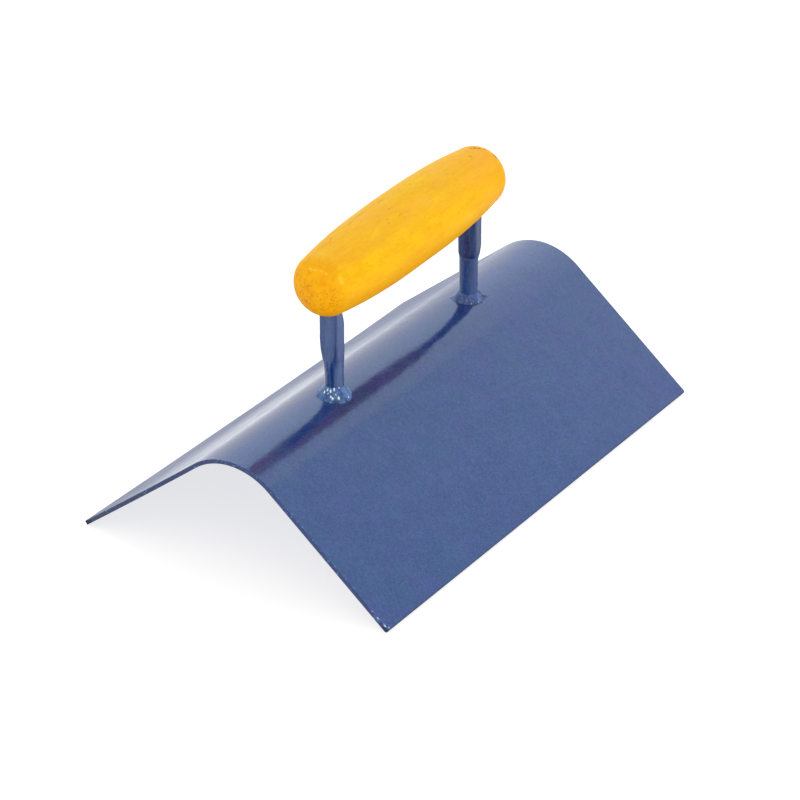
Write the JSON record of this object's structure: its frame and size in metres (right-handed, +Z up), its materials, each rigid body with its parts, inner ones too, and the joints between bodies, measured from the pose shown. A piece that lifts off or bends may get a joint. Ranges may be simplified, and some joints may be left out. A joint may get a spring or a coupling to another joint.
{
  "type": "concrete edger",
  "caption": "External-corner concrete edger: a bent steel sheet blade with a rounded ridge and two equal wings, welded steel posts on the ridge and a turned wooden handle.",
  "frame": {"origin": "centre of the footprint, on the plane that the blade's two long edges stand on", "axes": "+X along the ridge towards the rear post, +Y and -Y towards the two wings, +Z up towards the handle"},
  "size_m": [0.25, 0.1596, 0.1334],
  "materials": {
    "blade_paint": "blue glossy lacquer on steel sheet, slightly mottled, bare bright steel on the square-cut edges where it has chipped",
    "post_paint": "blue glossy lacquer on forged round bar",
    "weld_paint": "blue lacquer over a lumpy weld bead, with bright worn high spots",
    "handle_lacquer": "orange-yellow glossy lacquer over turned wood, small open pores showing through",
    "adhesive": "cured amber-grey adhesive, hidden inside the bores"
  },
  "bodies": {
    "root": {"blade": "blade_paint", "front_post": "post_paint", "rear_post": "post_paint", "front_weld": "weld_paint", "rear_weld": "weld_paint", "front_tang_adhesive": "adhesive", "rear_tang_adhesive": "adhesive", "handle": "handle_lacquer"}
  },
  "joints": []
}
